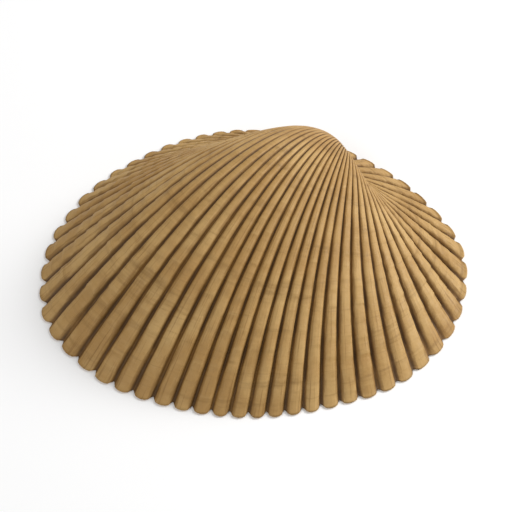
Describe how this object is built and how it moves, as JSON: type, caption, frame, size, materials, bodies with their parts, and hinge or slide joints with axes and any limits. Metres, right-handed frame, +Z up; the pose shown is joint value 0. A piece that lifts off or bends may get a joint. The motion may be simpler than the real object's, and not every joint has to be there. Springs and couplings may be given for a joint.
{
  "type": "ribbed clam shell",
  "caption": "One valve of a ribbed clam, lying dome up on its rim: radial ribs fan from a curled beak, with a smooth bowl below.",
  "frame": {"origin": "middle of the valve's bounding box, on the surface that its rim lies on", "axes": "+Z up through the dome, +X along the length of the valve, +Y towards the hinge"},
  "size_m": [0.064, 0.0512, 0.0157],
  "materials": {
    "shell": "matt horn-brown shell with satin bowl"
  },
  "bodies": {
    "root": {"shell_valve": "shell"}
  },
  "joints": []
}
